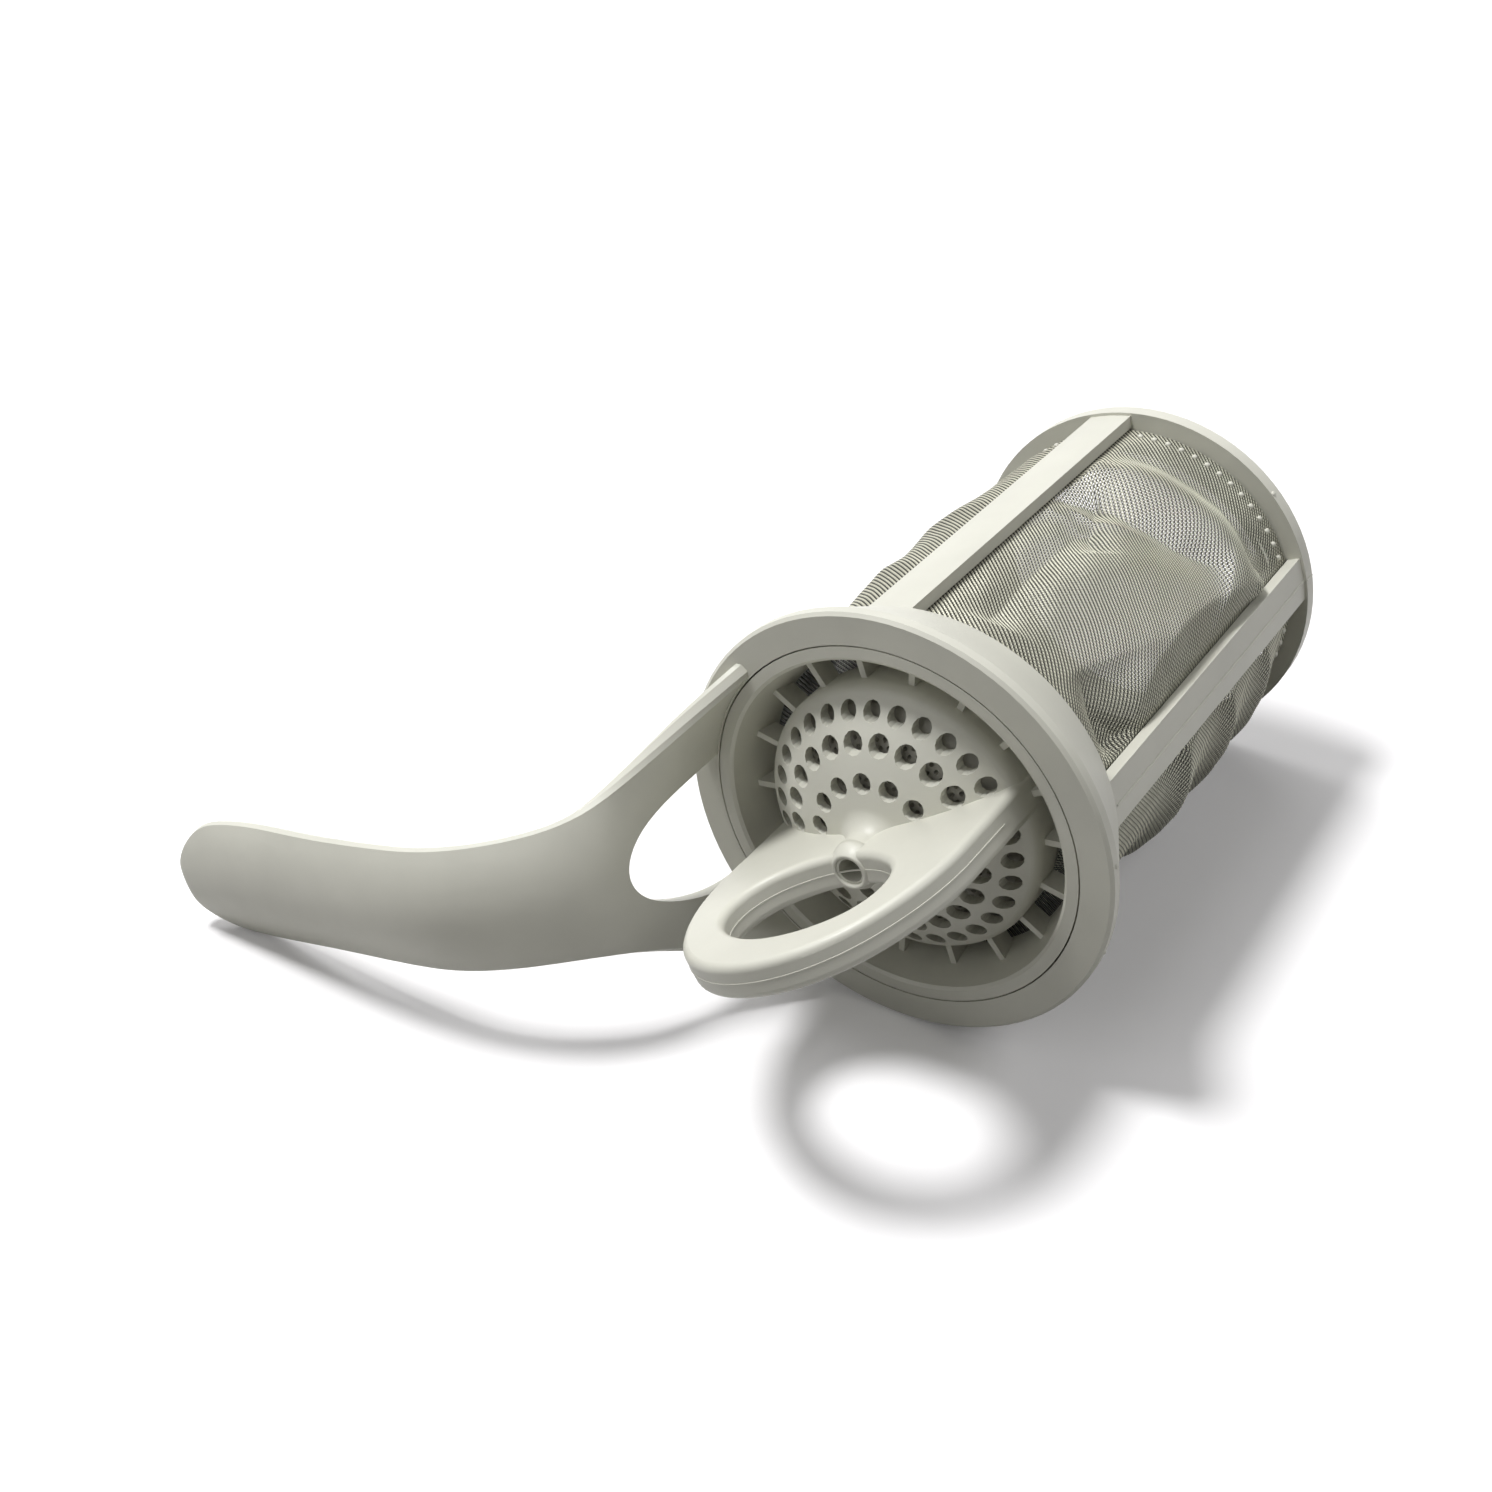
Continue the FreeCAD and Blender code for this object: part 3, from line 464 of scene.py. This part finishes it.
def revolved(profile, steps=128):
    """Points and faces of a closed profile turned about the axis."""
    profile = np.asarray(profile, float)
    angles = np.arange(steps) * FULL_TURN / steps
    points = polar(profile[:, None, 0], angles, profile[:, None, 1])
    index = np.arange(len(profile) * steps).reshape(len(profile), steps)
    return points.reshape(-1, 3), grid_faces(closed(np.concatenate([index, index[:1]])))


def sieve_shell_profile():
    """Section of the cup outside its perforated middle."""
    inner = PERFORATED_R - SHELL_OVERLAP
    round_start = SIEVE_SIDE_R - SIEVE_ROUND * ROUND_START
    crown = [(r, float(sieve_height(r))) for r in np.linspace(inner, round_start, ARC_POINTS)]
    side_top = float(sieve_height(SIEVE_SIDE_R)) - SIEVE_ROUND * ROUND_START
    outside = [
        (SIEVE_SIDE_R - SIEVE_ROUND * ROUND_MIDDLE_IN, side_top + SIEVE_ROUND * ROUND_MIDDLE_UP),
        (SIEVE_SIDE_R, side_top),
        (SIEVE_SIDE_R, SIEVE_RIM_TOP),
        (SIEVE_RIM_R, SIEVE_RIM_TOP),
        (SIEVE_RIM_R, SIEVE_RIM_BOTTOM),
        (SIEVE_SIDE_R, SIEVE_RIM_BOTTOM),
        (SIEVE_SIDE_R, SIEVE_BOTTOM),
    ]
    inside_r = SIEVE_SIDE_R - SIEVE_WALL
    inside = [(inside_r, SIEVE_BOTTOM), (inside_r, side_top - INSIDE_DROP)]
    under_radii = np.linspace(inside_r - INSIDE_CHAMFER, inner, ARC_POINTS)
    under = [(r, float(sieve_height(r, SIEVE_WALL))) for r in under_radii]
    return crown + outside + inside + under


cap_points, cap_faces = perforated_cap()
shell_points, shell_faces = revolved(sieve_shell_profile())
cap = add_piece("sieve_cap", cap_points, cap_faces, sieve_plastic,
                "coarse_filter", smooth=False)
shell = add_piece("sieve_shell", shell_points, shell_faces, sieve_plastic,
                  "coarse_filter", smooth=False)
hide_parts("inner_sieve")
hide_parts("inner_sieve")


# Mould marks: nubs that hold the cloth, parting lines, gate scars and the boss round the bore

RIB_R = 36.4
FOOT_R = 37.0
FOOT_RIM_Z = WINDOW_BOTTOM
FRAME_END = -109.6
FLANGE_R = 42.5
LOOP_HALF_WIDTH = 27.4
LOOP_FOOT = 4.0
LOOP_SIDE_TOP = 15.2
LOOP_TOP = 47.2
LOOP_HOLE_HALF_WIDTH = 16.5
LOOP_HOLE_BOTTOM = 13.3
LOOP_HOLE_TOP = 38.1
OVAL_FLATNESS = 0.476

# Rings of a dome from its sunk foot to its top: shares of its radius and of its height
DOME_RINGS = ((1.0, -0.25), (1.0, 0.25), (0.78, 0.72), (0.4, 0.96))
DOME_CORNERS = 10


def joined(parts):
    """Several lots of points and faces as one."""
    points, faces, start = [], [], 0
    for part_points, part_faces in parts:
        points.extend(np.asarray(part_points).tolist())
        faces.extend([[int(index) + start for index in face] for face in part_faces])
        start += len(part_points)
    return np.array(points), faces


def dome(centre, outward, radius, height):
    """A low dome on a point of the surface, with its foot sunk a little."""
    centre = np.asarray(centre, float)
    outward = np.asarray(outward, float) / np.linalg.norm(outward)
    first = np.cross(outward, (0.0, 0.0, 1.0))
    first /= np.linalg.norm(first)
    second = np.cross(outward, first)
    turn = np.arange(DOME_CORNERS)[:, None] * FULL_TURN / DOME_CORNERS
    ring = np.cos(turn) * first + np.sin(turn) * second
    rings = [centre + ring * radius * share + outward * height * level
             for share, level in DOME_RINGS]
    index = closed(np.arange(len(rings) * DOME_CORNERS).reshape(len(rings), DOME_CORNERS))
    tip = len(rings) * DOME_CORNERS
    fan = [[start, end, tip] for start, end in zip(index[-1], index[-1, 1:])]
    return np.concatenate([*rings, [centre + outward * height]]), [*grid_faces(index), *fan]


def bead(line, outward, across, half_width, height):
    """A thin raised line along points of a surface, with the way out and across at each."""
    rows = [
        line - across * half_width - outward * height,
        line - across * half_width * 0.5 + outward * height,
        line + across * half_width * 0.5 + outward * height,
        line + across * half_width - outward * height,
    ]
    points = np.stack(rows, axis=1)
    index = np.arange(points.size // 3).reshape(points.shape[:2])
    return points.reshape(-1, 3), grid_faces(index)


RIB_SEAM_HALF_WIDTH = 0.26
RIB_SEAM_HEIGHT = 0.17
# Radius and height of the seam's points, from the skirt over the rib and the foot ring
RIB_SEAM_LINE = np.array([
    (RIB_R, WINDOW_TOP - 0.5),
    (RIB_R, -60.0),
    (RIB_R, FOOT_RIM_Z + 0.05),
    (FOOT_R, FOOT_RIM_Z - 0.1),
    (FOOT_R, FRAME_END + 1.0),
])
RIB_SEAM_ANGLES = (math.radians(179.3), 0.0)


def rib_bead(angle):
    """Parting line down the middle of a rib and over the foot ring."""
    line = polar(RIB_SEAM_LINE[:, 0], angle, RIB_SEAM_LINE[:, 1])
    outward = polar(1.0, angle, 0.0)
    across = polar(1.0, angle + math.pi / 2, 0.0)
    return bead(line, outward, across, RIB_SEAM_HALF_WIDTH, RIB_SEAM_HEIGHT)


def oval(centre_z, half_width, height, steps=14):
    """Upper half of the loop's oval as points in its plane, from right to left."""
    long, short = max(half_width, height), min(half_width, height)
    end_r = short - OVAL_FLATNESS * (long - short)
    side_r = ((long - end_r) ** 2 + short ** 2 - end_r ** 2) / (2 * (short - end_r))
    turn = math.atan2(side_r - short, long - end_r)
    ends = np.linspace(0, turn, steps)
    sides = np.linspace(math.pi / 2 - turn, 0, steps)
    side_over = short - side_r + side_r * np.cos(sides)
    along = np.concatenate([long - end_r + end_r * np.cos(ends), side_r * np.sin(sides)[1:]])
    over = np.concatenate([end_r * np.sin(ends), side_over[1:]])
    if height > half_width:
        along, over = over[::-1], along[::-1]
    x = np.concatenate([along, -along[-2::-1]])
    z = np.concatenate([over, over[-2::-1]])
    return x, z + centre_z


LOOP_SEAM_HALF_WIDTH = 0.17
LOOP_SEAM_HEIGHT = 0.09


def loop_bead(x, z, away):
    """Parting line on an edge of the loop, with 1 for the outer edge and -1 for the hole's."""
    line = np.stack([x, np.zeros(len(x)), z], axis=-1)
    step = np.gradient(line, axis=0)
    step /= np.linalg.norm(step, axis=1)[:, None]
    across = np.array([0.0, 1.0, 0.0])
    outward = np.cross(across, step) * away
    return bead(line, outward, across, LOOP_SEAM_HALF_WIDTH, LOOP_SEAM_HEIGHT)


def turned(points, angle):
    """Points turned about the axis."""
    x, y, z = points.T
    cosine, sine = math.cos(angle), math.sin(angle)
    return np.stack([x * cosine - y * sine, x * sine + y * cosine, z], axis=-1)


NUB_Z = -102.5
NUB_R = 0.62
NUB_HEIGHT = 0.55
NUB_LIFT = 0.05
NUB_COUNT = 14
NUB_START = math.radians(10.4)
NUB_STEP = math.radians(5.13)
nubs = []
for panel in range(PANELS):
    for number in range(NUB_COUNT):
        angle = panel * PANEL_ANGLE + NUB_START + NUB_STEP * number
        place = polar(CLOTH_R + NUB_LIFT, angle, NUB_Z)
        nubs.append(dome(place, polar(1.0, angle, 0.0), NUB_R, NUB_HEIGHT))
nub_points, nub_faces = joined(nubs)
add_piece("cloth_nubs", nub_points, nub_faces, plastic, "microfilter")

seam_points, seam_faces = joined([rib_bead(angle) for angle in RIB_SEAM_ANGLES])
add_piece("frame_parting_lines", seam_points, seam_faces, plastic,
          "microfilter", smooth=False)

# Place by radius, degrees from the lever and height; rise of the way out; radius, height
GATE_SCARS = [
    (FOOT_R - 0.1, 209.6, FOOT_RIM_Z - 0.7, 0.3, 0.55, 0.4),
    (FLANGE_R - 0.1, 176.0, -1.6, 0.0, 0.5, 0.4),
    (FLANGE_R - 0.1, 150.5, -1.6, 0.0, 0.45, 0.35),
]
scars = []
for place_r, degrees, place_z, rise, scar_r, scar_height in GATE_SCARS:
    angle = math.radians(degrees)
    place = polar(place_r, angle, place_z)
    scars.append(dome(place, polar(1.0, angle, rise), scar_r, scar_height))
scar_points, scar_faces = joined(scars)
add_piece("gate_scars", scar_points, scar_faces, plastic, "microfilter")

outer_x, outer_z = oval(LOOP_SIDE_TOP, LOOP_HALF_WIDTH, LOOP_TOP - LOOP_SIDE_TOP)
outer_x = np.concatenate([[LOOP_HALF_WIDTH], outer_x, [-LOOP_HALF_WIDTH]])
outer_z = np.concatenate([[LOOP_FOOT], outer_z, [LOOP_FOOT]])
hole_x, hole_z = oval(0.0, LOOP_HOLE_HALF_WIDTH, (LOOP_HOLE_TOP - LOOP_HOLE_BOTTOM) / 2)
hole_x = np.concatenate([hole_x, -hole_x[1:]])
hole_z = np.concatenate([hole_z, -hole_z[1:]]) + (LOOP_HOLE_TOP + LOOP_HOLE_BOTTOM) / 2
line_points, line_faces = joined([loop_bead(outer_x, outer_z, 1), loop_bead(hole_x, hole_z, -1)])
add_piece("loop_parting_lines", turned(line_points, STRAINER_TURN), line_faces, plastic,
          "coarse_filter", smooth=False)

BORE_R = 2.75
BOSS_STEPS = 48
# Radius and height of the boss's section: a low cone with a lip
BOSS_PROFILE = [
    (BORE_R, 10.5), (4.6, 10.5), (4.5, 12.0), (3.45, 13.75), (3.3, 13.9), (2.9, 13.9),
    (BORE_R, 13.7),
]
boss_points, boss_faces = revolved(BOSS_PROFILE, BOSS_STEPS)
add_piece("bore_boss", boss_points, boss_faces, plastic, "coarse_filter")


# Floor: white as the camera sees it, greyer in the light that it throws back

FLOOR_HALF = 3.0
FLOOR_SEEN = (0.97, 0.96, 0.97, 1)
FLOOR_BOUNCE = (0.30, 0.295, 0.28, 1)
# The floor's own glow, near the filter and far from it, and the distances between which it rises
GLOW_NEAR = 0.04
GLOW_FAR = 1.0
GLOW_START = 0.45
GLOW_END = 1.0
WHITE = (1, 1, 1, 1)
PAPER_ROUGHNESS = 0.9


def seen_directly(tree):
    """1 for the rays of the camera, of reflections and of what shows through, else 0."""
    path = node(tree, "ShaderNodeLightPath")
    seen = path.outputs["Is Camera Ray"]
    for kind in ("Is Glossy Ray", "Is Transmission Ray"):
        either = node(tree, "ShaderNodeMath", operation="MAXIMUM")
        tree.links.new(seen, either.inputs[0])
        tree.links.new(path.outputs[kind], either.inputs[1])
        seen = either.outputs[0]
    return seen


def paper_material():
    """White paper that shows evenly white, and lets the filter show when seen from below."""
    paper = bpy.data.materials.new("white_paper")
    paper.use_nodes = True
    tree = paper.node_tree
    shader = tree.nodes["Principled BSDF"]
    shader.inputs["Roughness"].default_value = PAPER_ROUGHNESS
    shader.inputs["Specular IOR Level"].default_value = 0.0
    shader.inputs["Emission Color"].default_value = WHITE
    seen = seen_directly(tree)
    tone = node(tree, "ShaderNodeMix", data_type="RGBA")
    first, second, result = COLOUR_SOCKETS
    tone.inputs[first].default_value = FLOOR_BOUNCE
    tone.inputs[second].default_value = FLOOR_SEEN
    tree.links.new(seen, tone.inputs["Factor"])
    tree.links.new(tone.outputs[result], shader.inputs["Base Color"])
    spot = node(tree, "ShaderNodeNewGeometry")
    distance = node(tree, "ShaderNodeVectorMath", operation="LENGTH")
    tree.links.new(spot.outputs["Position"], distance.inputs[0])
    rise = mapped(tree, distance.outputs["Value"], GLOW_NEAR, GLOW_FAR, GLOW_START, GLOW_END)
    glow = node(tree, "ShaderNodeMath", operation="MULTIPLY")
    tree.links.new(seen, glow.inputs[0])
    tree.links.new(rise, glow.inputs[1])
    tree.links.new(glow.outputs[0], shader.inputs["Emission Strength"])
    clear = node(tree, "ShaderNodeBsdfTransparent")
    two_sided = node(tree, "ShaderNodeMixShader")
    tree.links.new(spot.outputs["Backfacing"], two_sided.inputs[0])
    tree.links.new(shader.outputs[0], two_sided.inputs[1])
    tree.links.new(clear.outputs[0], two_sided.inputs[2])
    tree.links.new(two_sided.outputs[0], tree.nodes["Material Output"].inputs["Surface"])
    return paper


floor_mesh = bpy.data.meshes.new("floor")
floor_corners = [(-1, -1), (1, -1), (1, 1), (-1, 1)]
floor_mesh.from_pydata([(x * FLOOR_HALF, y * FLOOR_HALF, 0) for x, y in floor_corners],
                       [], [(0, 1, 2, 3)])
floor = bpy.data.objects.new("floor", floor_mesh)
bpy.context.scene.collection.objects.link(floor)
floor_mesh.materials.append(paper_material())


# Light: a white sky that hardly lights, and round lamps, each with its azimuth and elevation in
# degrees, its diameter in metres and its power in watts

SKY_LEVEL = 0.02
LAMP_DISTANCE = 1.1
LAMP_TARGET = Vector((0, 0, 0.03))
LAMPS = {
    "key": (103.4, 71.4, 0.26, 10.0),
    "over_foot": (30, 60, 0.8, 2.2),
    "side": (-70, 45, 0.6, 3.3),
    "lever_side": (160, 40, 1.2, 2.7),
    "behind": (66, 46, 0.36, 2.2),
}

world = bpy.data.worlds.new("studio")
bpy.context.scene.world = world
world.use_nodes = True
tree = world.node_tree
sky = tree.nodes["Background"]
sky.inputs["Color"].default_value = WHITE
tree.links.new(mapped(tree, seen_directly(tree), SKY_LEVEL, 1.0), sky.inputs["Strength"])


def area_light(name, azimuth, elevation, size, power):
    """A round soft lamp that faces the filter."""
    azimuth, elevation = math.radians(azimuth), math.radians(elevation)
    way = Vector((math.cos(azimuth) * math.cos(elevation),
                  math.sin(azimuth) * math.cos(elevation),
                  math.sin(elevation)))
    lamp = bpy.data.lights.new(name, "AREA")
    lamp.shape = "DISK"
    lamp.size = size
    lamp.energy = power
    holder = bpy.data.objects.new(name, lamp)
    holder.location = LAMP_TARGET + way * LAMP_DISTANCE
    holder.rotation_euler = way.to_track_quat("Z", "Y").to_euler()
    bpy.context.scene.collection.objects.link(holder)


for name, (azimuth, elevation, size, power) in LAMPS.items():
    area_light(name, azimuth, elevation, size, power)


# Camera, fitted to the photograph

CAMERA_PLACE = Vector((-0.246377, -0.182126, 0.248510))
CAMERA_WAY = Vector((0.643958, 0.486800, -0.590207))
CAMERA_RIGHT = Vector((0.553371, -0.829079, -0.080053))
CAMERA_LENS = 44.589
CAMERA_SENSOR = 36.0
CAMERA_CLIP = 0.01

camera_data = bpy.data.cameras.new("camera")
camera_data.lens = CAMERA_LENS
camera_data.sensor_width = CAMERA_SENSOR
camera_data.clip_start = CAMERA_CLIP
camera = bpy.data.objects.new("camera", camera_data)
bpy.context.scene.collection.objects.link(camera)
camera_up = CAMERA_RIGHT.cross(CAMERA_WAY)
camera_turn = Matrix([CAMERA_RIGHT, camera_up, -CAMERA_WAY]).transposed()
camera.matrix_world = Matrix.Translation(CAMERA_PLACE) @ camera_turn.to_4x4()
bpy.context.scene.camera = camera
bpy.context.scene.view_settings.view_transform = "Standard"
